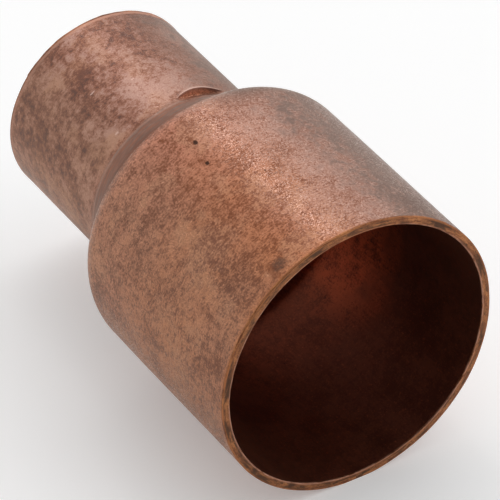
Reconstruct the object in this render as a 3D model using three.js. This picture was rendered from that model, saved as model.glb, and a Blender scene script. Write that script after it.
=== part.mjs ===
// A wrought copper reducing coupling for soldered tube. One drawn wall forms a large cup, a
// rounded shoulder, a fillet and a small cup, all on one axis. Punched tube stops stand at the
// root of the small cup: each is a dent outside and a bump inside the bore.
//
// Millimetres. The axis is X, the large mouth faces +X, +Z is up, and the origin is on the axis
// at half the overall length.

import * as THREE from 'three';
import { mergeVertices } from 'three/addons/utils/BufferGeometryUtils.js';

// Overall
const OVERALL_LENGTH = 68.6;
const MOUTH_X = OVERALL_LENGTH / 2;
const SMALL_END_X = -OVERALL_LENGTH / 2;
const EDGE_BREAK = 0.15;
const SEGMENTS_AROUND = 72;
const HALF_FACET = Math.PI / SEGMENTS_AROUND;
const ARC_STEPS = 6;

// Large cup: radii are of the outside, and the cup narrows a little from its mouth to its root
const LARGE_MOUTH_RADIUS = 21.95;
const LARGE_ROOT_RADIUS = 21.67;
const LARGE_WALL = 1.25;
const LARGE_CUP_LENGTH = 34.2;

// Shoulder and fillet: an S of two arcs, the first bending in and the second bending back
const SHOULDER_X = MOUTH_X - LARGE_CUP_LENGTH;
const SHOULDER_LENGTH = 12.4;
const SHOULDER_BEND_OUTSIDE = 4.8;
const SHOULDER_BEND_INSIDE = 3.6;

// Small cup, with a slight flare where the end was cut
const SMALL_RADIUS = 15.18;
const SMALL_WALL = 0.85;
const SMALL_FLARE = 0.1;
const SMALL_FLARE_LENGTH = 1.4;

// Tube stops: the punch shears down at STOP_X and lifts out over STOP_RAMP towards the shoulder
const STOP_X = SHOULDER_X - SHOULDER_LENGTH + 0.1;
const STOP_DEPTH = 1.2;
const STOP_RAMP = 2.6;
const STOP_SHEAR = 0.05;
const STOP_LAND = 0.7;
const STOP_HALF_ANGLE = THREE.MathUtils.degToRad(15);
const STOP_ANGLES = [11.3, 191.3].map(THREE.MathUtils.degToRad);

const COPPER = { color: 0x92634f, roughness: 0.45, metalness: 0.9 };

// The S from the large cup's root down to the small cup, as [x, radius] stations
function shoulderStations(largeRadius, smallRadius, bend) {
  const drop = largeRadius - smallRadius;
  const steepest = 2 * Math.atan(drop / SHOULDER_LENGTH);
  const filletBend = drop / (1 - Math.cos(steepest)) - bend;
  const filletX = SHOULDER_X - SHOULDER_LENGTH;
  const stations = [];
  for (let step = 0; step <= ARC_STEPS; step += 1) {
    const angle = (steepest * step) / ARC_STEPS;
    stations.push([SHOULDER_X - bend * Math.sin(angle), largeRadius - bend * (1 - Math.cos(angle))]);
  }
  for (let step = ARC_STEPS - 1; step >= 0; step -= 1) {
    const angle = (steepest * step) / ARC_STEPS;
    const radius = smallRadius + filletBend * (1 - Math.cos(angle));
    stations.push([filletX + filletBend * Math.sin(angle), radius]);
  }
  return stations;
}

// Two stations at one shear line, so that the punched wall there is steep
function shearStations(x, radius) {
  return [
    [x + STOP_SHEAR, radius],
    [x - STOP_SHEAR, radius],
  ];
}

// Outside of the wall, from the large mouth to the small end
function outsideStations() {
  return [
    [MOUTH_X, LARGE_MOUTH_RADIUS - EDGE_BREAK],
    [MOUTH_X - EDGE_BREAK, LARGE_MOUTH_RADIUS],
    ...shoulderStations(LARGE_ROOT_RADIUS, SMALL_RADIUS, SHOULDER_BEND_OUTSIDE).slice(0, -1),
    ...shearStations(STOP_X, SMALL_RADIUS),
    [SMALL_END_X + SMALL_FLARE_LENGTH, SMALL_RADIUS],
    [SMALL_END_X + EDGE_BREAK, SMALL_RADIUS + SMALL_FLARE],
    [SMALL_END_X, SMALL_RADIUS + SMALL_FLARE - EDGE_BREAK],
  ];
}

// Inside of the wall, from the small end to the large mouth
function insideStations() {
  const smallBore = SMALL_RADIUS - SMALL_WALL;
  const rootBore = LARGE_ROOT_RADIUS - LARGE_WALL;
  const mouthBore = LARGE_MOUTH_RADIUS - LARGE_WALL;
  const shoulder = shoulderStations(rootBore, smallBore, SHOULDER_BEND_INSIDE);
  return [
    [SMALL_END_X, smallBore + EDGE_BREAK],
    [SMALL_END_X + EDGE_BREAK, smallBore],
    ...shearStations(STOP_X - STOP_LAND, smallBore).reverse(),
    ...shoulder.reverse(),
    [MOUTH_X - EDGE_BREAK, mouthBore],
    [MOUTH_X, mouthBore + EDGE_BREAK],
  ];
}

// How far the punch has pushed the wall in at x, for a shear line at shearX
function stopDepth(x, angle, shearX) {
  const run = (x - shearX) / STOP_RAMP;
  if (run <= 0 || run >= 1) {
    return 0;
  }
  let depth = 0;
  for (const centre of STOP_ANGLES) {
    const across = Math.atan2(Math.sin(angle - centre), Math.cos(angle - centre)) / STOP_HALF_ANGLE;
    depth = Math.max(depth, STOP_DEPTH * (1 - run) * (1 - across * across));
  }
  return depth;
}

// Pushes the turned wall in at each stop. Angles run about the axis from +Z towards +Y.
function punchStops(geometry, stationCount, outsideCount) {
  const position = geometry.getAttribute('position');
  for (let index = 0; index < position.count; index += 1) {
    const isOutside = index % stationCount < outsideCount;
    const shearX = isOutside ? STOP_X : STOP_X - STOP_LAND;
    const x = position.getX(index);
    const y = position.getY(index);
    const z = position.getZ(index);
    const radius = Math.hypot(y, z);
    const scale = (radius - stopDepth(x, Math.atan2(y, z), shearX)) / radius;
    position.setXYZ(index, x, y * scale, z * scale);
  }
}

// The whole wall: one closed profile turned about X, then punched. Half a facet of turn puts a
// flat at the bottom, where the fitting lies on its large cup.
function reducerGeometry() {
  const outside = outsideStations();
  const stations = [...outside, ...insideStations(), outside[0]];
  const profile = stations.map(([x, radius]) => new THREE.Vector2(radius, -x));
  const turned = new THREE.LatheGeometry(profile, SEGMENTS_AROUND, HALF_FACET);
  turned.rotateZ(Math.PI / 2);
  punchStops(turned, stations.length, outside.length);
  turned.deleteAttribute('normal');
  turned.deleteAttribute('uv');
  const closed = mergeVertices(turned);
  closed.computeVertexNormals();
  return closed;
}

function reducerBody() {
  const mesh = new THREE.Mesh(reducerGeometry(), new THREE.MeshStandardMaterial(COPPER));
  mesh.name = 'reducer_body';
  return mesh;
}

const reducer = new THREE.Group();
reducer.add(reducerBody());

export default reducer;
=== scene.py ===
"""A wrought copper reducing coupling for soldered tube, laid out as a Blender add-on and run as a
script. One drawn wall forms a large cup, a rounded shoulder, a fillet and a small cup, with punched
tube stops at the small cup's root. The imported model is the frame, in metres: the axis is X, the
large mouth faces +X, and +Z is up."""

import math

import bpy
import numpy as np
from mathutils import Matrix, Vector, noise


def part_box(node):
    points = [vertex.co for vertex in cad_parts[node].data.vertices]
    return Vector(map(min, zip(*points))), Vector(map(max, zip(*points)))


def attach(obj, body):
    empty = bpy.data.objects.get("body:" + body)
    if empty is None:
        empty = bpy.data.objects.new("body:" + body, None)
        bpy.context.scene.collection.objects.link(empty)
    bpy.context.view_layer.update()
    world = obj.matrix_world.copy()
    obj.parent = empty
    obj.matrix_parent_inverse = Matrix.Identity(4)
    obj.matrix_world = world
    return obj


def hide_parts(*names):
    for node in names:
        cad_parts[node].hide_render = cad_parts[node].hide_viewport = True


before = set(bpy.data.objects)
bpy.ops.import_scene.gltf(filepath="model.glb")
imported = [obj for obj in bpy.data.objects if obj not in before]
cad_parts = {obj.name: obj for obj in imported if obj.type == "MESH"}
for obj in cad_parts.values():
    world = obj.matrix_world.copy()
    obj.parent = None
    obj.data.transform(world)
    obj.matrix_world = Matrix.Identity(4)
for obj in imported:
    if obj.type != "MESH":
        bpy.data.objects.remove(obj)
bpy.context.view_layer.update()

bl_info = {
    "name": "Copper Reducer",
    "version": (1, 0, 0),
    "blender": (4, 5, 0),
    "location": "View3D > Sidebar > Reducer",
    "description": "Builds a wrought copper reducing coupling and a small studio for it",
    "category": "Add Mesh",
}

NODE = "reducer_body"
PIECE = "copper_reducer"
MM = 0.001
LOW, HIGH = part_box(NODE)
SMALL_END_X, MOUTH_X = LOW.x, HIGH.x

# Small marks: place along the axis (mm), turn about it from +Z towards +Y (degrees), and size
# along the axis and across it (mm). The nicks are on the small cup and the rest on the large one.
PITS = (
    (4.7, -20.4, 0.95, 0.65),
    (9.2, -22.9, 0.70, 0.55),
    (4.2, -27.7, 0.60, 0.22),
    (0.9, -22.0, 0.45, 0.30),
    (16.4, -9.8, 0.30, 0.30),
)
RUST_TAILS = ((3.9, -21.0, 2.2, 0.7), (9.0, -23.4, 1.1, 1.0), (32.2, -34.0, 3.6, 1.6))
NICKS = ((-21.9, -33.6, 0.35, 0.95), (-19.2, -13.0, 0.30, 0.60), (-13.0, -40.0, 0.40, 0.70))
STAINS = ((32.0, -31.0, 2.3, 2.3),)

# Larger patches of lighter and darker tarnish, given in the same way. The second light patch on the
# small cup, on its top, is not tarnish but a painted highlight.
SMALL_CUP_LIGHT = (
    (-17.3, -48.5, 4.0, 3.0),
    # A painted highlight on top of the small cup
    (-16.0, -4.0, 12.0, 9.0),
    (-12.5, -40.0, 4.0, 5.0),
    (-29.5, -45.0, 5.0, 4.0),
    (-27.0, 35.0, 9.0, 6.0),
    (-18.0, 110.0, 12.0, 9.0),
    (-25.0, 200.0, 9.0, 10.0),
)
SMALL_CUP_DARK = (
    (-25.5, -31.0, 7.0, 4.5),
    (-20.0, -39.0, 7.0, 3.5),
    (-14.5, -58.0, 6.0, 3.5),
    (-22.0, 70.0, 9.0, 6.0),
    (-28.0, 140.0, 8.0, 7.0),
)
LARGE_CUP_LIGHT = (
    (16.0, -54.0, 10.0, 7.0),
    (7.0, -47.0, 7.0, 6.0),
    (25.0, -64.0, 10.0, 6.0),
    (12.0, 95.0, 14.0, 10.0),
)
LARGE_CUP_DARK = (
    (18.0, -34.0, 10.0, 7.0),
    (28.0, -44.0, 7.0, 7.0),
    (3.0, -30.0, 5.0, 5.0),
    (22.0, 140.0, 12.0, 12.0),
)

# Radii that the marks lie on, and the one that marks round the axis are measured at (mm)
SMALL_CUP_MARKS = 15.1
LARGE_CUP_MARKS = 21.8
ARC_RADIUS = 22.0

# The wall's zones, which its material slots follow, and its points
OUTSIDE, INSIDE, CUT_END = 0, 1, 2
NO_EDGE = -1
AROUND = 456
EDGE_STEPS = 4
FACE_STEPS = 6
EDGE_GAP = 0.3 * MM

# Punched stops: how far the sheared step and the bump inside lean along the axis, the lip that the
# punch leaves, where the shear line's bow has faded out (in half spans), how far from the line rows
# stop following it and how near they follow it fully, and where the bare metal ends and begins
SHEAR_LEAN = 0.13 * MM
BUMP_LEAN = 0.45 * MM
LIP_HEIGHT = 0.03 * MM
LIP_WIDTH = 0.13 * MM
LIP_BACK = 0.08 * MM
BOW_FADE = 3.2
FOLLOWING = (3.4 * MM, 0.4 * MM)
BARE_METAL = (0.9 * MM, 0.2 * MM)

# Cutter's burr and the groove behind it. The burr begins and fades between pairs of angles.
BURR_WIDTH = 0.4 * MM
BURR_OVERHANG = 0.08 * MM
BURR_BEGINS = (math.radians(-52.6), math.radians(-51.4))
BURR_FADES = (math.radians(75), math.radians(35))
GROOVE_BACK = 0.9 * MM
GROOVE_WIDTH = 0.25 * MM
GROOVE_SHARE = 0.4

# Unevenness of the mouth, the cut ends and the burr. Swings are in one turn round the axis.
MOUTH_REACH = 30 * MM
PRESS_WIDTH = math.radians(24)
SAW_REACH = 1.5 * MM
SAW_WANDER = 0.03 * MM
SAW_SWINGS = 7
EDGE_WANDER = 0.75
EDGE_SWINGS = 16
BURR_WANDER = 0.4
BURR_SWINGS = 30
SEED_SPACING = 7.3

# Floor, lights and camera: sizes in metres, and directions from the reducer
FLOOR_HALF = 4.0
FLOOR_SHADE = 0.9
FLOOR_GLOW = 0.22
LIGHT_DISTANCE = 0.7
SOFTBOX_SIDE = (-0.35, 0.20, 0.90)
SOFTBOX_ALONG = (0.5, 0.87, 0)
SOFTBOX_SIZE = (0.6, 0.04)
STRIP_ALONG = (1, 0, 0)
STRIP_SIZE = (0.7, 0.05)
ROOM_FULLY_DIM = 0.6
CLIP_NEAR = 0.01
CLIP_FAR = 20.0


# ---------------------------------------------------------------------------------------------
# Settings
# ---------------------------------------------------------------------------------------------


def length(name, description, default_mm):
    """A length property, given in millimetres and kept in metres."""
    return bpy.props.FloatProperty(
        name=name, description=description, default=default_mm * MM, unit="LENGTH", precision=5
    )


def turn(name, description, default_degrees):
    """An angle property, given in degrees and kept in radians."""
    return bpy.props.FloatProperty(
        name=name, description=description, default=math.radians(default_degrees), unit="ROTATION"
    )


def colour(name, description, default):
    """A colour property, in linear light."""
    return bpy.props.FloatVectorProperty(
        name=name, description=description, default=default, subtype="COLOR", min=0, max=1
    )


class ReducerWallSettings(bpy.types.PropertyGroup):
    """Sizes of the drawn wall. Radii are of the outside."""

    mouth_radius: length("Mouth radius", "Outside radius at the large mouth", 21.93)
    root_radius: length("Root radius", "Outside radius where the shoulder begins", 21.66)
    large_wall: length("Large wall", "Wall of the large cup", 1.25)
    large_cup: length("Large cup", "From the mouth to the shoulder", 34.2)
    shoulder: length("Shoulder", "Length from the large cup to the small one", 12.4)
    outer_bend: length("Outer bend", "Radius of the shoulder's bend, outside", 4.8)
    bore_bend: length("Bore bend", "Radius of the same bend, inside", 3.6)
    small_radius: length("Small radius", "Outside radius of the small cup", 15.13)
    small_wall: length("Small wall", "Wall of the small cup", 0.85)
    flare: length("Flare", "How far the small end stands out", 0.03)
    flare_run: length("Flare run", "Length of that flare", 1.4)
    edge_break: length("Edge break", "Mean rounding of the cut edges", 0.13)
    burr: length("Burr", "Lip that the cutter left round part of the small end", 0.09)
    oval: length("Oval", "How far the large mouth is pressed out of round", 0.22)
    oval_turn: turn("Oval turn", "Where the mouth stands out most, from +Z towards +Y", -9.0)
    lean: length("Lean", "How far the large mouth sits off the axis", 0.05)
    lean_turn: turn("Lean turn", "Direction of that, from +Z towards +Y", 50.0)
    press: length("Press", "Depth of a flattened place beside the mouth", 0.2)
    press_turn: turn("Press turn", "Where that is, from +Z towards +Y", 92.0)


class ReducerStopSettings(bpy.types.PropertyGroup):
    """Sizes of the punched tube stops."""

    count: bpy.props.IntProperty(name="Count", description="Stops round the cup", default=2)
    place: turn("Place", "Turn of the first stop about the axis, from +Z towards +Y", 11.3)
    half_span: turn("Half span", "Half the angle that a stop spans", 14.8)
    set_back: length("Set back", "From the fillet's end to the shear line", 0.3)
    bow: length("Bow", "How far the shear line bends towards the shoulder at its tips", 1.2)
    depth: length("Depth", "Depth of the sheared step at its middle", 1.25)
    ramp: length("Ramp", "Length over which the dent lifts out", 2.6)
    land: length("Land", "How far the bump inside stands ahead of the shear line", 0.7)


class ReducerFinishSettings(bpy.types.PropertyGroup):
    """Colours of the copper, in linear light."""

    # Bare copper of scratches, nicks and broken edges, and the colour of the painted highlight flecks
    # on top
    clean: colour("Clean", "Clean copper in fine scratches", (0.68, 0.46, 0.39))
    # Pinker copper on the small cup, and the pink of the painted highlight on top of the large cup
    rose_and_highlight: colour("Rose", "Pinker copper on the small cup and on top", (0.465, 0.275, 0.220))
    pink: colour("Pink", "Copper of the large cup that has kept its colour", (0.48, 0.205, 0.133))
    brown: colour("Brown", "Even brown tarnish", (0.265, 0.107, 0.067))
    dark: colour("Dark", "Dark tarnish in specks and smudges", (0.10, 0.046, 0.034))
    purple: colour("Purple", "Purple-brown tarnish in blotches", (0.135, 0.066, 0.052))
    warm: colour("Warm", "Orange-brown copper towards the large mouth", (0.45, 0.172, 0.078))
    rust: colour("Rust", "Rust-brown tarnish in strands and on the large cup", (0.19, 0.062, 0.028))
    # A grey painted on as shade on the far side, on top of the shoulder's bend and low on the near
    # side, and as a painted grey sheen in the fillet
    painted_grey_shade: colour("Film", "Greyish film in the fillet and on the far side", (0.125, 0.082, 0.068))
    tan: colour("Tan", "Yellowish patches on the near side", (0.46, 0.24, 0.14))
    # Pale colour of the painted highlight flecks along the shoulder, and of the fillet's pale border
    # and lines
    pale_lines_and_highlight: colour("Scuff", "Pale scuffed flecks along the shoulder", (0.42, 0.31, 0.26))
    pit: colour("Pit", "Dirt in the pits", (0.04, 0.016, 0.010))
    stain: colour("Stain", "Dark stain beside the mouth", (0.050, 0.033, 0.028))
    fresh: colour("Fresh", "Bright cut copper", (0.45, 0.17, 0.072))
    # Pinkish metal of the cutter's burr, and the painted highlight along the cut ends' inner edge
    salmon_and_highlight: colour("Salmon", "Pinkish metal of the cutter's burr", (0.48, 0.25, 0.18))
    cut: colour("Cut", "Sawn face of the cut ends", (0.48, 0.195, 0.073))
    saw: colour("Saw marks", "The same face in its saw marks", (0.17, 0.058, 0.026))
    worn: colour("Worn", "Sheared copper of the stops", (0.86, 0.50, 0.35))
    soot: colour("Soot", "Grey-brown patches on the cut ends", (0.065, 0.035, 0.023))
    bore: colour("Bore", "Red-brown tarnish inside", (0.20, 0.060, 0.032))
    bore_dark: colour("Dark bore", "Darker tarnish inside", (0.135, 0.042, 0.024))
    # Redder metal inside the shoulder, and the painted highlight on the +Y side there
    bore_red_and_highlight: colour("Red bore", "Redder metal inside the shoulder", (0.60, 0.14, 0.055))


class ReducerStageSettings(bpy.types.PropertyGroup):
    """Camera and light."""

    azimuth: turn("Azimuth", "Camera's turn about +Z, from -Y towards +X", 58.0)
    elevation: turn("Elevation", "Camera's height above the horizon", 37.95)
    distance: length("Distance", "From the camera to the point that it looks at", 662.0)
    aim_x: length("Aim along X", "Point that the camera looks at, along the axis", 6.74)
    aim_y: length("Aim along Y", "The same point's place across the axis", -0.08)
    aim_z: length("Aim up", "The same point's height above the axis", 0.0)
    lens: bpy.props.FloatProperty(name="Lens", description="Focal length in mm", default=342.0)
    surround: bpy.props.FloatProperty(
        name="Surround", description="Brightness of the white surroundings", default=1.2
    )
    room: bpy.props.FloatProperty(
        name="Room", description="Share of that brightness on the camera's side", default=0.25
    )
    room_azimuth: turn("Room azimuth", "Turn of the dim side about +Z, from -Y to +X", 41.0)
    room_height: turn("Room height", "Height of its middle above the horizon", 23.0)
    room_reach: turn("Room reach", "How far the dim side reaches round its middle", 85.0)
    softbox: bpy.props.FloatProperty(
        name="Softbox", description="Power of the overhead softbox in watts", default=0.2
    )
    strip: bpy.props.FloatProperty(
        name="Strip", description="Power of the narrow strip light in watts", default=0.2
    )
    gleam_turn: turn("Gleam turn", "Where that light gleams, from +Z towards +Y", -11.0)


SETTINGS = {
    "reducer_wall": ReducerWallSettings,
    "reducer_stop": ReducerStopSettings,
    "reducer_finish": ReducerFinishSettings,
    "reducer_stage": ReducerStageSettings,
}


# ---------------------------------------------------------------------------------------------
# Shader maths
# ---------------------------------------------------------------------------------------------


class Field:
    """What a node puts out. Arithmetic on it adds Math nodes to its graph."""

    def __init__(self, graph, socket):
        self.graph = graph
        self.socket = socket

    def math(self, operation, *inputs):
        return self.graph.node("ShaderNodeMath", {"operation": operation}, dict(enumerate(inputs)))

    def __add__(self, other):
        return self.math("ADD", self, other)

    def __sub__(self, other):
        return self.math("SUBTRACT", self, other)

    def __rsub__(self, other):
        return self.math("SUBTRACT", other, self)

    def __mul__(self, other):
        return self.math("MULTIPLY", self, other)

    def __abs__(self):
        return self.math("ABSOLUTE", self)

    __radd__ = __add__
    __rmul__ = __mul__

    def root(self):
        return self.math("SQRT", self)

    def both(self, other):
        return self.math("MINIMUM", self, other)

    def either(self, other):
        return self.math("MAXIMUM", self, other)

    def rise(self, low, high):
        """0 below low, 1 above high, and a smooth rise between. With low above high it falls."""
        inputs = {"Value": self, "From Min": low, "From Max": high}
        return self.graph.node("ShaderNodeMapRange", {"interpolation_type": "SMOOTHSTEP"}, inputs)


class Graph:
    """The node tree of a new material or world."""

    def __init__(self, owner):
        self.owner = owner
        owner.use_nodes = True
        self.tree = owner.node_tree

    def node(self, kind, settings=None, inputs=None, output=0):
        """Adds a node: its settings first, then its sockets' values or links."""
        made = self.tree.nodes.new(kind)
        for key, value in (settings or {}).items():
            setattr(made, key, value)
        for key, value in (inputs or {}).items():
            self.feed(made.inputs[key], value)
        return Field(self, made.outputs[output])

    def feed(self, socket, value):
        if isinstance(value, Field):
            self.tree.links.new(value.socket, socket)
        elif hasattr(socket.default_value, "__len__") and len(socket.default_value) == 4:
            socket.default_value = (*value, 1.0)[:4]
        else:
            socket.default_value = value

    def place(self):
        """The point on the surface, in millimetres."""
        held = self.node("ShaderNodeTexCoord", output="Object")
        return self.stretch(held, 1 / MM, 1 / MM)

    def stretch(self, vector, along, across):
        """The vector scaled along the axis and across it."""
        inputs = {0: vector, 1: (along, across, across)}
        return self.node("ShaderNodeVectorMath", {"operation": "MULTIPLY"}, inputs)

    def parts(self, vector):
        split = self.node("ShaderNodeSeparateXYZ", inputs={0: vector}).socket.node
        return [Field(self, output) for output in split.outputs]

    def round_axis(self, place, along, around, outward):
        """Stretched cylindrical coordinates, so that marks can run round the axis."""
        x, y, z = self.parts(place)
        arc = y.math("ARCTAN2", y, z) * (around * ARC_RADIUS)
        radius = (y * y + z * z).root()
        inputs = {0: x * along, 1: arc, 2: radius * outward}
        return self.node("ShaderNodeCombineXYZ", inputs=inputs)

    def noise(self, vector, per_mm, detail=2.0, roughness=0.5, distortion=0.0):
        inputs = {"Vector": vector, "Scale": per_mm, "Detail": detail}
        inputs.update({"Roughness": roughness, "Distortion": distortion})
        return self.node("ShaderNodeTexNoise", {"normalize": True}, inputs)

    def attribute(self, name):
        return self.node("ShaderNodeAttribute", {"attribute_name": name}, output="Fac")

    def mix(self, share, first, second):
        """The first colour where share is 0, and the second where it is 1."""
        inputs = {0: share, 6: first, 7: second}
        return self.node("ShaderNodeMix", {"data_type": "RGBA"}, inputs, output=2)

    def bump(self, height_mm, strength):
        inputs = {"Height": height_mm * MM, "Distance": 1.0, "Strength": strength}
        return self.node("ShaderNodeBump", inputs=inputs)

    def fill(self, shader, **sockets):
        """Feeds a shader that the tree began with. Underscores in a socket's name are spaces."""
        inputs = self.tree.nodes[shader].inputs
        for key, value in sockets.items():
            self.feed(inputs[key.replace("_", " ")], value)
        return self.owner

    def surface(self, **sockets):
        return self.fill("Principled BSDF", **sockets)


# ---------------------------------------------------------------------------------------------
# Copper
# ---------------------------------------------------------------------------------------------


def mark_reach(graph, place, mark, radius):
    """Distance from the middle of a mark on a wall of that radius, where 1 is the mark's rim. A
    mark is its place along the axis and its turn about it, its length along the axis, and its
    width, in mm and degrees."""
    x, turn_degrees, long, wide = mark
    angle = math.radians(turn_degrees)
    centre = (x, radius * math.sin(angle), radius * math.cos(angle))
    away = graph.node("ShaderNodeVectorMath", {"operation": "SUBTRACT"}, {0: place, 1: centre})
    scaled = graph.stretch(away, 2 / long, 2 / wide)
    return graph.node("ShaderNodeVectorMath", {"operation": "LENGTH"}, {0: scaled}, output=1)


def spots(graph, place, marks, radius, grain=2.6, soft=0.2):
    """1 inside the ragged marks, and 0 outside them all."""
    nearest = mark_reach(graph, place, marks[0], radius)
    for mark in marks[1:]:
        nearest = nearest.both(mark_reach(graph, place, mark, radius))
    ragged = nearest + (graph.noise(place, grain, 4.0, 0.7) - 0.5) * 1.6
    return ragged.rise(0.95 + soft, 0.95 - soft)


class Skin:
    """What the layers of the outside share: the place on the wall, in mm, and the noises."""

    def __init__(self, graph):
        place = graph.place()
        self.graph = graph
        self.place = place
        self.x, self.y, self.z = graph.parts(place)
        self.drift = graph.noise(place, 0.11, 2.0, 0.5)
        self.blotch = graph.noise(place, 0.30, 6.0, 0.55, 0.3)
        self.mottle = graph.noise(place, 0.95, 5.0, 0.68)
        self.speckle = graph.noise(place, 3.4, 4.0, 0.75)
        self.grit = graph.noise(place, 6.0, 2.0, 0.6)
        self.hatch = graph.noise(graph.stretch(place, 4.2, 1.1), 1.0, 4.0, 0.7)
        self.scratch = graph.noise(graph.stretch(place, 5.5, 3.0), 1.0, 3.0, 0.7, 0.15)
        self.drawn_lines = graph.noise(graph.stretch(place, 7.0, 0.35), 1.0, 3.0, 0.6)
        self.small_cup = self.x.rise(-10.0, -12.5)
        uneven_x = self.x + (self.mottle - 0.5) * 3.0
        self.fillet = uneven_x.rise(-12.0, -9.8) * self.x.rise(-4.0, -6.0)
        self.grainy = 1 - 0.9 * self.fillet


def tarnish_tone(skin):
    """How much of its colour the copper has kept: about 0 under dark tarnish, and 1 where it has kept
    its colour. The light patch on top of the small cup lifts it there as a painted highlight.
    """
    graph, place = skin.graph, skin.place
    cloudy = {"grain": 1.1, "soft": 0.4}
    lighter = spots(graph, place, SMALL_CUP_LIGHT, SMALL_CUP_MARKS, **cloudy) * 0.8
    lighter = lighter.either(spots(graph, place, LARGE_CUP_LIGHT, LARGE_CUP_MARKS, **cloudy) * 0.5)
    darker = spots(graph, place, SMALL_CUP_DARK, SMALL_CUP_MARKS, **cloudy) * 0.8
    darker = darker.either(spots(graph, place, LARGE_CUP_DARK, LARGE_CUP_MARKS, **cloudy) * 0.5)
    return (
        0.54
        + (lighter - darker) * 0.40
        + (skin.blotch - 0.5) * 1.8
        + (skin.mottle - 0.5) * 2.8
        + (skin.drift - 0.5)
        + (skin.hatch - 0.5) * (3.0 - 1.9 * skin.small_cup)
        + (skin.speckle - 0.5) * (3.8 - 2.6 * skin.small_cup)
    )


def tarnish(skin, finish, tone):
    """Copper under brown tarnish: more orange towards the mouth, and pinker on top of the large cup,
    which is a painted highlight.
    """
    graph, x, y = skin.graph, skin.x, skin.y
    low = graph.mix(skin.small_cup, finish.rust, finish.purple)
    high = graph.mix(skin.small_cup, finish.pink, finish.rose_and_highlight)
    base = graph.mix(tone.rise(-0.1, 0.5), low, finish.brown)
    base = graph.mix(tone.rise(0.25, 1.15), base, high)
    tinge = x.rise(-2.0, 22.0) * y.rise(8.0, -4.0) * (0.72 + (skin.drift - 0.5) * 1.5)
    tinged = graph.mix(tone.rise(-0.1, 0.9), finish.rust, finish.warm)
    base = graph.mix(tinge, base, tinged)
    # The top of the large cup, where the light gleams, is painted pinker: a painted highlight
    top = (y + (skin.blotch - 0.5) * 14.0).rise(-8.0, 5.0) * (1 - skin.small_cup)
    pinker = graph.mix(tone.rise(-0.1, 1.1), finish.brown, finish.rose_and_highlight)
    base = graph.mix(top * 0.85, base, pinker)
    patch = graph.noise(skin.place, 0.16, 4.0, 0.6).rise(0.50, 0.62) * y.rise(4.0, -8.0)
    yellower = graph.mix(tone.rise(0.0, 0.8), finish.brown, finish.tan)
    return graph.mix(patch * 0.4, base, yellower)


def add_fine_lines(skin, finish, base, tone, sparkle):
    """Rusty strands, dark specks, and bright scratches where the tarnish is thin. The sparkling
    flecks on top are also painted in bare copper as a painted highlight.
    """
    graph, place, speckle = skin.graph, skin.place, skin.speckle
    strands = graph.noise(graph.stretch(place, 2.4, 1.1), 1.0, 3.0, 0.6, 0.6)
    hairs = graph.noise(graph.stretch(place, 0.9, 2.6), 1.3, 3.0, 0.6, 0.5)
    strand = abs(strands - 0.5).rise(0.03, 0.0) * skin.hatch.rise(0.42, 0.62)
    hair = abs(hairs - 0.5).rise(0.02, 0.0) * skin.mottle.rise(0.45, 0.60)
    base = graph.mix(strand.either(hair) * 0.4, base, finish.rust)
    base = graph.mix(speckle.rise(0.42, 0.30) * 0.6, base, finish.dark)
    glint = (skin.scratch * 0.6 + speckle * 0.4).rise(0.49, 0.60) * tone.rise(0.1, 0.7)
    base = graph.mix(glint * skin.grainy * 0.06, base, finish.clean)
    # Sparkling flecks on top are painted in bare copper: a painted highlight
    return graph.mix(sparkle * skin.y.rise(-9.0, -3.0) * 0.5, base, finish.clean)


def add_painted_shade(skin, finish, base, tone):
    """Painted grey shade on the far side and on top of the shoulder's bend, and painted shade low on
    the near side, dulled from grey towards tan."""
    graph, x, y, z = skin.graph, skin.x, skin.y, skin.z
    # The far side and the top of the shoulder's bend are darkened and greyed: painted shade
    uneven_y = y + (skin.blotch - 0.5) * 16.0 + (skin.mottle - 0.5) * 8.0
    far_side_shade = uneven_y.rise(0.0, 13.0) * z.rise(-8.0, 8.0)
    far_side_shade = far_side_shade * (0.45 + skin.blotch * 0.7 + (skin.mottle - 0.5) * 2.0)
    bend_top_shade = x.rise(3.0, -2.0) * x.rise(-9.0, -4.0) * y.rise(-4.0, 4.0) * z.rise(0.0, 8.0)
    base = graph.mix(far_side_shade.both(0.8).either(bend_top_shade * 0.8), base, finish.painted_grey_shade)
    # Low on the near side the copper is darkened to grey-tan: painted shade
    near_side_shade = y.rise(-9.0, -19.0).either(skin.small_cup * y.rise(-6.0, -13.0))
    near_shade_colour = graph.mix(tone.rise(-0.5, 1.8), finish.painted_grey_shade, finish.tan)
    return graph.mix(near_side_shade * (0.22 + skin.blotch * 0.5), base, near_shade_colour)


def add_shoulder_highlight_and_marks(skin, finish, base):
    """Pale flecks along the bend where the shoulder begins, a painted highlight broken into flecks,
    and a smooth skin in the fillet whose grey is a painted sheen, with a pale border and pale lines
    round the axis."""
    graph, x, y, z = skin.graph, skin.x, skin.y, skin.z
    # Pale flecks along the shoulder's bend, strongest on the near side: a painted highlight
    highlight_flecks = (skin.mottle * 0.4 + skin.speckle * 0.6).rise(0.49, 0.54)
    highlight_flecks = highlight_flecks * x.rise(-3.9, -3.3) * x.rise(-2.2, -2.9)
    share = 0.35 + 0.65 * y.rise(4.0, -4.0) * z.rise(-6.0, 2.0)
    base = graph.mix(highlight_flecks * share, base, finish.pale_lines_and_highlight)
    # The fillet's drawn lines run between brown and a painted grey sheen
    fillet_lines_and_sheen = graph.mix(skin.drawn_lines.rise(0.36, 0.62), finish.brown, finish.painted_grey_shade)
    base = graph.mix(1 - skin.grainy, base, fillet_lines_and_sheen)
    border = x.rise(-10.9, -10.6) * x.rise(-10.1, -10.4) * 0.25
    border = border.either(skin.fillet * skin.drawn_lines.rise(0.56, 0.70) * 0.45)
    return graph.mix(border, base, finish.pale_lines_and_highlight)


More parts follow.
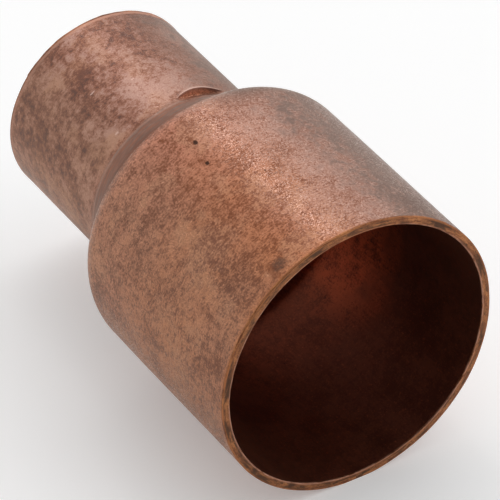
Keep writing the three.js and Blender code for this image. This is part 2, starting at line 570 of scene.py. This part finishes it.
def add_dirt(skin, finish, base, pits):
    """A smudge beside the mouth, pits with rust running from them, nicks and a stain."""
    graph, place = skin.graph, skin.place
    smudge = skin.x.rise(22.0, 31.0) * skin.y.rise(6.0, 12.0)
    smudge = smudge * (skin.blotch * 0.6 + skin.mottle * 0.4).rise(0.42, 0.52)
    base = graph.mix(smudge * 0.6, base, finish.dark)
    tails = spots(graph, place, RUST_TAILS, LARGE_CUP_MARKS)
    base = graph.mix(tails * 0.6, base, finish.rust)
    base = graph.mix(pits * 0.95, base, finish.pit)
    nicks = spots(graph, place, NICKS, SMALL_CUP_MARKS)
    base = graph.mix(nicks * 0.6, base, finish.clean)
    stain = spots(graph, place, STAINS, LARGE_CUP_MARKS, 1.5, 0.35)
    return graph.mix(stain * skin.speckle.rise(0.32, 0.56) * 0.8, base, finish.stain)


def add_bare_metal(skin, finish, base):
    """The sheared stops, the cutter's burr on the small end, and the broken edges."""
    graph, x = skin.graph, skin.x
    ragged = (skin.mottle - 0.5) * 0.9 + (skin.speckle - 0.5) * 0.6
    burr = (x + ragged).rise(-33.5, -33.8).both(graph.attribute("burred") + 0.35)
    fringe = (x + ragged * 2.0).rise(33.2, 34.1) * skin.y.rise(6.0, -6.0)
    worn = graph.mix(skin.speckle.rise(0.35, 0.65), finish.brown, finish.worn)
    base = graph.mix(graph.attribute("sheared"), base, worn)
    base = graph.mix(burr * 0.9, base, finish.salmon_and_highlight)
    base = graph.mix(fringe * 0.45, base, finish.fresh)
    return graph.mix(graph.attribute("edge") * 0.8, base, finish.clean)


def drawn_copper(finish):
    """The outside: tarnished copper, blotched on the small cup, finely speckled and hatched on the
    large one, and smooth and greyish in the fillet, the grey there a painted sheen. Painted grey
    shade lies on the far side and low on the near side, and a painted highlight in pink and bare
    copper lies on top. It sparkles where it catches light."""
    skin = Skin(Graph(bpy.data.materials.new("drawn_copper")))
    tone = tarnish_tone(skin)
    sparkle = (skin.grit * 0.6 + skin.scratch * 0.4).rise(0.51, 0.58)
    sparkle = sparkle * skin.grainy * (1 - 0.6 * skin.small_cup)
    pits = spots(skin.graph, skin.place, PITS, LARGE_CUP_MARKS)
    base = tarnish(skin, finish, tone)
    base = add_fine_lines(skin, finish, base, tone, sparkle)
    base = add_painted_shade(skin, finish, base, tone)
    base = add_shoulder_highlight_and_marks(skin, finish, base)
    base = add_dirt(skin, finish, base, pits)
    base = add_bare_metal(skin, finish, base)
    rough = 0.46 + (skin.mottle - 0.5) * 0.3 + (skin.speckle - 0.5) * 0.2 - 0.29 * sparkle
    relief = (skin.speckle * 0.008 + skin.hatch * 0.009 + skin.mottle * 0.016) * skin.grainy
    relief = relief - pits * 0.05 + skin.drawn_lines * 0.007
    return skin.graph.surface(
        Base_Color=base,
        Metallic=0.92,
        Specular_Tint=(1.0, 0.92, 0.86),
        Roughness=rough,
        Normal=skin.graph.bump(relief, 1.0),
    )


def bore_copper(finish):
    """The inside: a dark red-brown, more red towards the shoulder, with a painted highlight in red
    metal on the +Y side there, small specks and faint drawing lines along the axis."""
    graph = Graph(bpy.data.materials.new("bore_copper"))
    place = graph.place()
    x, y = graph.parts(place)[:2]
    cloud = graph.noise(place, 0.20, 5.0, 0.6)
    mottle = graph.noise(place, 0.9, 4.0, 0.65)
    speckle = graph.noise(place, 3.2, 3.0, 0.7)
    lines = graph.noise(graph.stretch(place, 0.25, 4.0), 1.0, 3.0, 0.6)
    share = 0.5 + (cloud - 0.5) * 2.4 + (mottle + speckle - 1.0) * 2.0 + (lines - 0.5)
    base = graph.mix(share.rise(0.0, 1.0), finish.bore_dark, finish.bore)
    deep = (x + (cloud - 0.5) * 24.0 + (mottle - 0.5) * 6.0).rise(17.0, 8.0)
    # Towards the shoulder the inside turns redder, and much more so on the +Y side: a painted
    # highlight
    redder_and_highlight = deep * (0.15 + 0.85 * (y + (cloud - 0.5) * 8.0).rise(11.0, 18.0))
    base = graph.mix(redder_and_highlight * (share + 0.3).both(1.0), base, finish.bore_red_and_highlight)
    base = graph.mix(speckle.rise(0.38, 0.28) * 0.6, base, finish.dark)
    base = graph.mix(speckle.rise(0.60, 0.72) * 0.5, base, finish.bore_red_and_highlight)
    rough = 0.38 + (cloud - 0.5) * 0.3 + (speckle - 0.5) * 0.3
    relief = speckle * 0.03 + mottle * 0.04 + lines * 0.01
    return graph.surface(
        Base_Color=base, Metallic=0.8, Roughness=rough, Normal=graph.bump(relief, 0.5)
    )


def cut_copper(finish):
    """The cut ends: orange copper with grey-brown patches down the middle of the wall, and bright
    lines along the edges, the inner one a painted highlight.
    """
    graph = Graph(bpy.data.materials.new("cut_copper"))
    place = graph.place()
    edge = graph.attribute("edge")
    patches = graph.noise(graph.round_axis(place, 0.0, 0.25, 0.9), 1.0, 4.0, 0.6, 0.5)
    speckle = graph.noise(place, 3.0, 4.0, 0.65)
    marks = graph.noise(graph.round_axis(place, 2.0, 0.5, 5.0), 1.0, 4.0, 0.6)
    base = graph.mix((speckle * 0.4 + marks * 0.6).rise(0.40, 0.60), finish.saw, finish.cut)
    y, z = graph.parts(place)[1:]
    radius = (y * y + z * z).root()
    cleaner = (y - z * 0.5).rise(2.0, 20.0) * 0.015
    dirt = (patches * 0.5 + speckle * 0.2 + marks * 0.3 - cleaner).rise(0.47, 0.54)
    base = graph.mix(dirt * (0.85 - 0.6 * edge), base, finish.soot)
    outer = radius.rise(21.1, 21.5) * patches.rise(0.60, 0.45)
    # Bright lines along the cut edges: fresh copper on the outer edge, and a salmon painted highlight
    # on the inner edge
    line = graph.mix(radius.rise(21.1, 20.9), finish.fresh, finish.salmon_and_highlight)
    base = graph.mix(edge * marks.rise(0.38, 0.55) * (0.7 - 0.6 * outer), base, line)
    rough = 0.40 + dirt * 0.2 + (speckle - 0.5) * 0.2
    relief = speckle * 0.02 + marks * 0.015 - dirt * 0.01
    return graph.surface(
        Base_Color=base, Metallic=0.85, Roughness=rough, Normal=graph.bump(relief, 0.8)
    )


# ---------------------------------------------------------------------------------------------
# Wall
# ---------------------------------------------------------------------------------------------


def smooth(low, high, value):
    """0 below low, 1 above high, and a smooth rise between. With low above high it falls."""
    share = np.clip((value - low) / (high - low), 0, 1)
    return share * share * (3 - 2 * share)


def hump(distance, width):
    """1 at no distance, falling to nearly 0 at twice the width."""
    return np.exp(-((distance / width) ** 2))


def wander(turns, per_turn, seed):
    """A smooth uneven value from -1 to 1 for each angle, with about per_turn swings in a turn."""
    reach = per_turn / math.pi
    level = SEED_SPACING * seed
    circle = [Vector((reach * math.cos(a), reach * math.sin(a), level)) for a in turns]
    return np.array([noise.noise(point) for point in circle])


def wrapped(turns):
    """The same angles from -pi to pi."""
    return (turns + math.pi) % (2 * math.pi) - math.pi


def graded(*spans):
    """Places from the first span's start to the last span's end. A span is (start, end, step)."""
    places = []
    for start, end, step in spans:
        count = max(1, round(abs(end - start) / step))
        places.extend(np.linspace(start, end, count, endpoint=False))
    return np.array([*places, spans[-1][1]])


def shoulder_radius(x, large, small, bend, wall):
    """Radius along the shoulder: one arc bends in from the large cup and another bends back."""
    run = np.clip(MOUTH_X - wall.large_cup - x, 0, wall.shoulder)
    drop = large - small
    steepest = 2 * math.atan(drop / wall.shoulder)
    fillet = drop / (1 - math.cos(steepest)) - bend
    bending_in = large - bend + np.sqrt(np.maximum(bend**2 - run**2, 0))
    left = wall.shoulder - run
    bending_back = small + fillet - np.sqrt(np.maximum(fillet**2 - left**2, 0))
    return np.where(run < bend * math.sin(steepest), bending_in, bending_back)


def cup_taper(x, wall):
    """How much wider the large cup is at x than where the shoulder begins."""
    share = np.clip((x - MOUTH_X) / wall.large_cup + 1, 0, 1)
    return share * (wall.mouth_radius - wall.root_radius)


def outside_radius(x, wall):
    radius = shoulder_radius(x, wall.root_radius, wall.small_radius, wall.outer_bend, wall)
    flare = wall.flare * smooth(wall.flare_run, 0, x - SMALL_END_X)
    return radius + cup_taper(x, wall) + flare


def bore_radius(x, wall):
    large = wall.root_radius - wall.large_wall
    small = wall.small_radius - wall.small_wall
    return shoulder_radius(x, large, small, wall.bore_bend, wall) + cup_taper(x, wall)


def stop_share(turns, stop):
    """For each angle, 0 at the middle of the nearest stop, and -1 and 1 at its tips."""
    pitch = 2 * math.pi / stop.count
    return ((turns - stop.place + pitch / 2) % pitch - pitch / 2) / stop.half_span


def shear_line(turns, wall, stop):
    """Where along the axis the punch shears the outside, for each angle."""
    share = np.abs(stop_share(turns, stop))
    bowed = stop.bow * np.minimum(share, 1) ** 2 * smooth(BOW_FADE, 1, share)
    return MOUTH_X - wall.large_cup - wall.shoulder - stop.set_back + bowed


def stop_depth(x, turns, shear, lean, stop):
    """How deep the wall is pushed in: a steep step at the shear line, then a long ramp out."""
    across = np.maximum(1 - stop_share(turns, stop) ** 2, 0)
    past = x - shear
    return stop.depth * across * smooth(0, lean, past) * np.clip(1 - past / stop.ramp, 0, 1)


class Rows:
    """The wall's profile as rows of points, from the mouth's outer edge round to its inner edge."""

    def __init__(self):
        self.x, self.radius, self.back, self.inward, self.edge, self.zone = ([] for _ in range(6))

    def add(self, x, radius, zone, back=0.0, inward=0.0, edge=NO_EDGE):
        """One row. back and inward are its shares of its edge's rounding along X and radius."""
        for column, value in zip(
            (self.x, self.radius, self.back, self.inward, self.edge, self.zone),
            (x, radius, back, inward, edge, zone),
        ):
            column.append(value)

    def add_edge(self, end_x, radius, facing, outward, edge, opening):
        """A rounded edge of a cut end. facing is the way that the end looks along X, outward is 1
        outside and -1 in the bore, and opening is True where the rows run from the end face."""
        quarter = np.linspace(0, math.pi / 2, EDGE_STEPS + 1)
        for a in quarter if opening else quarter[::-1]:
            back = facing * (math.cos(a) - 1)
            inward = outward * (math.sin(a) - 1)
            self.add(end_x, radius, CUT_END, back, inward, edge)

    def add_face(self, end_x, start, end):
        """The flat ring of a cut end, between its two rounded edges."""
        towards_axis = 1 if end < start else -1
        for step in range(1, FACE_STEPS):
            share = step / FACE_STEPS
            radius = start + share * (end - start)
            self.add(end_x, radius, CUT_END, inward=-towards_axis * (1 - 2 * share))


def wall_rows(wall, stop):
    """Rows for the whole closed profile, closest together at the sheared stops."""
    shoulder_x = MOUTH_X - wall.large_cup
    fillet_x = shoulder_x - wall.shoulder
    bump_x = fillet_x - stop.land
    outside = graded(
        (MOUTH_X - EDGE_GAP, MOUTH_X - 2 * MM, 0.45 * MM),
        (MOUTH_X - 2 * MM, shoulder_x, 1.15 * MM),
        (shoulder_x, shoulder_x - 4.5 * MM, 0.27 * MM),
        (shoulder_x - 4.5 * MM, fillet_x + 2.4 * MM, 0.5 * MM),
        (fillet_x + 2.4 * MM, fillet_x + 0.15 * MM, 0.3 * MM),
        (fillet_x + 0.15 * MM, fillet_x - 0.03 * MM, 0.02 * MM),
        (fillet_x - 0.03 * MM, fillet_x - 0.2 * MM, 0.05 * MM),
        (fillet_x - 0.2 * MM, fillet_x - 2.2 * MM, 0.4 * MM),
        (fillet_x - 2.2 * MM, SMALL_END_X + 2 * MM, 1.1 * MM),
        (SMALL_END_X + 2 * MM, SMALL_END_X + EDGE_GAP, 0.22 * MM),
    )
    inside = graded(
        (SMALL_END_X + EDGE_GAP, SMALL_END_X + 1.5 * MM, 0.4 * MM),
        (SMALL_END_X + 1.5 * MM, bump_x - 0.6 * MM, 1.3 * MM),
        (bump_x - 0.6 * MM, fillet_x + 0.4 * MM, 0.12 * MM),
        (fillet_x + 0.4 * MM, shoulder_x, 0.5 * MM),
        (shoulder_x, MOUTH_X - EDGE_GAP, 1.5 * MM),
    )
    small_out = outside_radius(SMALL_END_X, wall)
    small_in = bore_radius(SMALL_END_X, wall)
    mouth_out = outside_radius(MOUTH_X, wall)
    mouth_in = bore_radius(MOUTH_X, wall)
    rows = Rows()
    rows.add_edge(MOUTH_X, mouth_out, 1, 1, 0, True)
    for x in outside:
        rows.add(x, float(outside_radius(x, wall)), OUTSIDE)
    rows.add_edge(SMALL_END_X, small_out, -1, 1, 1, False)
    rows.add_face(SMALL_END_X, small_out, small_in)
    rows.add_edge(SMALL_END_X, small_in, -1, -1, 2, True)
    for x in inside:
        rows.add(x, float(bore_radius(x, wall)), INSIDE)
    rows.add_edge(MOUTH_X, mouth_in, 1, -1, 3, False)
    rows.add_face(MOUTH_X, mouth_in, mouth_out)
    return rows


def break_edges(rows, turns, wall):
    """Place and radius of every point, with the cut edges broken unevenly."""
    uneven = np.array([wander(turns, EDGE_SWINGS, seed) for seed in range(4)])
    edges = wall.edge_break * (1 + EDGE_WANDER * uneven)
    edge = np.array(rows.edge)
    breaks = np.where((edge >= 0)[:, None], edges[np.maximum(edge, 0)], wall.edge_break)
    x = np.array(rows.x)[:, None] + np.array(rows.back)[:, None] * breaks
    radius = np.array(rows.radius)[:, None] + np.array(rows.inward)[:, None] * breaks
    return x, radius


def follow_shear(x, zone, shear, wall, stop):
    """Moves the rows beside the stops so that they follow the bowed shear line."""
    fillet_x = MOUTH_X - wall.large_cup - wall.shoulder
    middle = np.where(zone == INSIDE, fillet_x - stop.land, fillet_x)
    nearness = smooth(*FOLLOWING, np.abs(x - middle)) * (zone != CUT_END)
    return x + (shear - fillet_x) * nearness


def punch(x, radius, zone, turns, shear, stop):
    """Pushes the wall in at the stops, and leaves a thin lip along the sheared edge."""
    push = stop_depth(x, turns, shear, SHEAR_LEAN, stop)
    bump = stop_depth(x, turns, shear - stop.land, BUMP_LEAN, stop)
    lip = np.maximum(1 - stop_share(turns, stop) ** 2, 0) * hump(x - shear + LIP_BACK, LIP_WIDTH)
    radius = radius - np.where(zone == OUTSIDE, push - lip * LIP_HEIGHT, 0)
    radius = radius - np.where(zone == INSIDE, bump, 0)
    return radius, push, lip


def bend_mouth(x, radius, turns, wall):
    """Takes the large mouth out of round and off the axis, and flattens one place beside it."""
    near_mouth = smooth(MOUTH_X - MOUTH_REACH, MOUTH_X, x)
    oval = wall.oval * np.cos(2 * (turns - wall.oval_turn))
    lean = wall.lean * np.cos(turns - wall.lean_turn)
    press = wall.press * hump(wrapped(turns - wall.press_turn), PRESS_WIDTH)
    return radius + near_mouth * (oval + lean - press)


def raise_burr(x, radius, zone, turns, wall):
    """Turns out the burr round part of the small end, with a shallow groove behind it."""
    back = np.maximum(x - SMALL_END_X, 0)
    profile = hump(back, BURR_WIDTH) - GROOVE_SHARE * hump(back - GROOVE_BACK, GROOVE_WIDTH)
    burred = smooth(*BURR_BEGINS, wrapped(turns)) * smooth(*BURR_FADES, wrapped(turns))
    height = profile * burred * (1 + BURR_WANDER * wander(turns, BURR_SWINGS, 5))
    radius = radius + wall.burr * height * (zone != INSIDE)
    return x - BURR_OVERHANG * height, radius, burred


def saw_ends(x, turns):
    """Makes both cut ends slightly uneven."""
    for end_x, seed in ((MOUTH_X, 8), (SMALL_END_X, 9)):
        near_end = np.exp(-np.abs(x - end_x) / SAW_REACH)
        x = x + SAW_WANDER * near_end * wander(turns, SAW_SWINGS, seed)
    return x


def build_wall(wall, stop):
    """The wall's points as arrays of rows by angles, with the zone of each row and the masks."""
    rows = wall_rows(wall, stop)
    turns = np.arange(AROUND) * (2 * math.pi / AROUND)
    zone = np.array(rows.zone)[:, None]
    shear = shear_line(turns, wall, stop)
    x, radius = break_edges(rows, turns, wall)
    x = follow_shear(x, zone, shear, wall, stop)
    radius = np.where(zone == OUTSIDE, outside_radius(x, wall), radius)
    radius = np.where(zone == INSIDE, bore_radius(x, wall), radius)
    radius, push, lip = punch(x, radius, zone, turns, shear, stop)
    radius = bend_mouth(x, radius, turns, wall)
    x, radius, burred = raise_burr(x, radius, zone, turns, wall)
    x = saw_ends(x, turns)
    points = np.stack([x, radius * np.sin(turns), radius * np.cos(turns)], axis=-1)

    near_line = smooth(*BARE_METAL, x - shear)
    sheared = smooth(0.05, 0.5, push / stop.depth) * (0.35 + 0.65 * near_line)
    on_lip = np.where(zone == OUTSIDE, np.minimum(lip * 1.2, 1), 0)
    masks = {
        "sheared": np.where(zone == OUTSIDE, sheared, 0),
        "edge": np.maximum(np.array(rows.edge)[:, None] >= 0, on_lip),
        "burred": np.broadcast_to(burred, x.shape),
    }
    return points, zone[:, 0], masks


def ring_mesh(name, points, zone, masks):
    """One closed mesh from rows of points, joined round the axis and from the last row to the
    first."""
    count = len(points)
    row, column = np.meshgrid(np.arange(count), np.arange(AROUND), indexing="ij")
    next_row, next_column = (row + 1) % count, (column + 1) % AROUND
    quads = np.stack(
        [
            row * AROUND + column,
            row * AROUND + next_column,
            next_row * AROUND + next_column,
            next_row * AROUND + column,
        ],
        axis=-1,
    ).reshape(-1, 4)
    mesh = bpy.data.meshes.new(name)
    mesh.from_pydata(points.reshape(-1, 3).tolist(), [], quads.tolist())
    following = np.roll(zone, -1)
    slots = np.where(zone == following, zone, CUT_END)
    mesh.polygons.foreach_set("material_index", np.repeat(slots, AROUND).astype(np.int32))
    mesh.polygons.foreach_set("use_smooth", np.ones(len(quads), bool))
    for label, values in masks.items():
        held = mesh.attributes.new(label, "FLOAT", "POINT")
        held.data.foreach_set("value", values.reshape(-1).astype(np.float32))
    mesh.update()
    return mesh


# ---------------------------------------------------------------------------------------------
# Stage
# ---------------------------------------------------------------------------------------------


def pale_floor():
    graph = Graph(bpy.data.materials.new("pale_floor"))
    cloud = graph.noise(graph.place(), 0.01, 2.0)
    base = graph.mix(cloud, (FLOOR_SHADE,) * 3, (FLOOR_SHADE * 0.99,) * 3)
    return graph.surface(
        Base_Color=base, Roughness=0.9, Emission_Color=(1, 1, 1), Emission_Strength=FLOOR_GLOW
    )


def add_floor(level):
    half = FLOOR_HALF
    mesh = bpy.data.meshes.new("floor")
    corners = [(-half, -half, level), (half, -half, level), (half, half, level), (-half, half, level)]
    mesh.from_pydata(corners, [], [(0, 1, 2, 3)])
    mesh.materials.append(pale_floor())
    floor = bpy.data.objects.new("floor", mesh)
    bpy.context.collection.objects.link(floor)


def add_surround(stage):
    """White surroundings, with the dim room that the camera stands in on one side."""
    world = bpy.data.worlds.new("studio")
    graph = Graph(world)
    away = graph.node("ShaderNodeTexCoord", output="Generated")
    across = math.cos(stage.room_height)
    middle = (
        math.sin(stage.room_azimuth) * across,
        -math.cos(stage.room_azimuth) * across,
        math.sin(stage.room_height),
    )
    settings = {"operation": "DOT_PRODUCT"}
    facing = graph.node("ShaderNodeVectorMath", settings, {0: away, 1: middle}, "Value")
    room = facing.rise(math.cos(stage.room_reach), math.cos(ROOM_FULLY_DIM * stage.room_reach))
    shade = graph.mix(room, (1, 1, 1), (stage.room,) * 3)
    bpy.context.scene.world = graph.fill("Background", Color=shade, Strength=stage.surround)


def add_softbox(name, direction, along, size, watts):
    """A soft rectangular light in that direction from the origin, which it looks at, with its
    width turned along another."""
    light = bpy.data.lights.new(name, "AREA")
    light.shape = "RECTANGLE"
    light.size, light.size_y = size
    light.energy = watts
    holder = bpy.data.objects.new(name, light)
    towards = Vector(direction).normalized()
    side = (Vector(along) - towards * towards.dot(Vector(along))).normalized()
    axes = Matrix((side, towards.cross(side), towards)).transposed()
    holder.location = towards * LIGHT_DISTANCE
    holder.rotation_mode = "QUATERNION"
    holder.rotation_quaternion = axes.to_quaternion()
    holder.visible_camera = False
    bpy.context.collection.objects.link(holder)


def gleam_side(stage):
    """Direction to the strip light, so that its gleam runs along the cups at the gleam's turn."""
    normal = Vector((0, math.sin(stage.gleam_turn), math.cos(stage.gleam_turn)))
    back = camera_side(stage)
    return 2 * normal.dot(back) * normal - back


def camera_side(stage):
    """Direction from the reducer to the camera."""
    across = math.cos(stage.elevation)
    flat = (math.sin(stage.azimuth) * across, -math.cos(stage.azimuth) * across)
    return Vector((*flat, math.sin(stage.elevation)))


def add_camera(stage):
    data = bpy.data.cameras.new("camera")
    data.lens = stage.lens
    data.clip_start = CLIP_NEAR
    data.clip_end = CLIP_FAR
    camera = bpy.data.objects.new("camera", data)
    back = camera_side(stage)
    aim = Vector((stage.aim_x, stage.aim_y, stage.aim_z))
    camera.location = aim + back * stage.distance
    camera.rotation_mode = "QUATERNION"
    camera.rotation_quaternion = (-back).to_track_quat("-Z", "Y")
    bpy.context.collection.objects.link(camera)
    bpy.context.scene.camera = camera


# ---------------------------------------------------------------------------------------------
# Operators and panel
# ---------------------------------------------------------------------------------------------


class REDUCER_OT_add_wall(bpy.types.Operator):
    """Builds the drawn copper wall, with its cut ends and punched stops"""

    bl_idname = "reducer.add_wall"
    bl_label = "Add Reducer Wall"

    def execute(self, context):
        scene = context.scene
        points, zone, masks = build_wall(scene.reducer_wall, scene.reducer_stop)
        mesh = ring_mesh(PIECE, points, zone, masks)
        finish = scene.reducer_finish
        for make in (drawn_copper, bore_copper, cut_copper):
            mesh.materials.append(make(finish))
        piece = bpy.data.objects.new(PIECE, mesh)
        context.collection.objects.link(piece)
        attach(piece, "root")
        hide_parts(NODE)
        return {"FINISHED"}


class REDUCER_OT_add_stage(bpy.types.Operator):
    """Lays the pale floor and sets the soft light and the camera"""

    bl_idname = "reducer.add_stage"
    bl_label = "Add Studio"

    def execute(self, context):
        stage = context.scene.reducer_stage
        add_floor(LOW.z)
        add_surround(stage)
        add_softbox("softbox", SOFTBOX_SIDE, SOFTBOX_ALONG, SOFTBOX_SIZE, stage.softbox)
        add_softbox("strip", gleam_side(stage), STRIP_ALONG, STRIP_SIZE, stage.strip)
        add_camera(stage)
        context.scene.view_settings.view_transform = "Standard"
        return {"FINISHED"}


OPERATORS = (REDUCER_OT_add_wall, REDUCER_OT_add_stage)


class REDUCER_PT_panel(bpy.types.Panel):
    """Settings and buttons for the reducer"""

    bl_label = "Copper Reducer"
    bl_space_type = "VIEW_3D"
    bl_region_type = "UI"
    bl_category = "Reducer"

    def draw(self, context):
        for name, kind in SETTINGS.items():
            box = self.layout.box()
            for key in kind.__annotations__:
                box.prop(getattr(context.scene, name), key)
        for operator in OPERATORS:
            self.layout.operator(operator.bl_idname)


def register():
    for kind in (*SETTINGS.values(), *OPERATORS, REDUCER_PT_panel):
        bpy.utils.register_class(kind)
    for name, kind in SETTINGS.items():
        setattr(bpy.types.Scene, name, bpy.props.PointerProperty(type=kind))


def unregister():
    for name in SETTINGS:
        delattr(bpy.types.Scene, name)
    for kind in (REDUCER_PT_panel, *OPERATORS, *SETTINGS.values()):
        bpy.utils.unregister_class(kind)


def main():
    register()
    bpy.ops.reducer.add_wall()
    bpy.ops.reducer.add_stage()


if __name__ == "__main__":
    main()
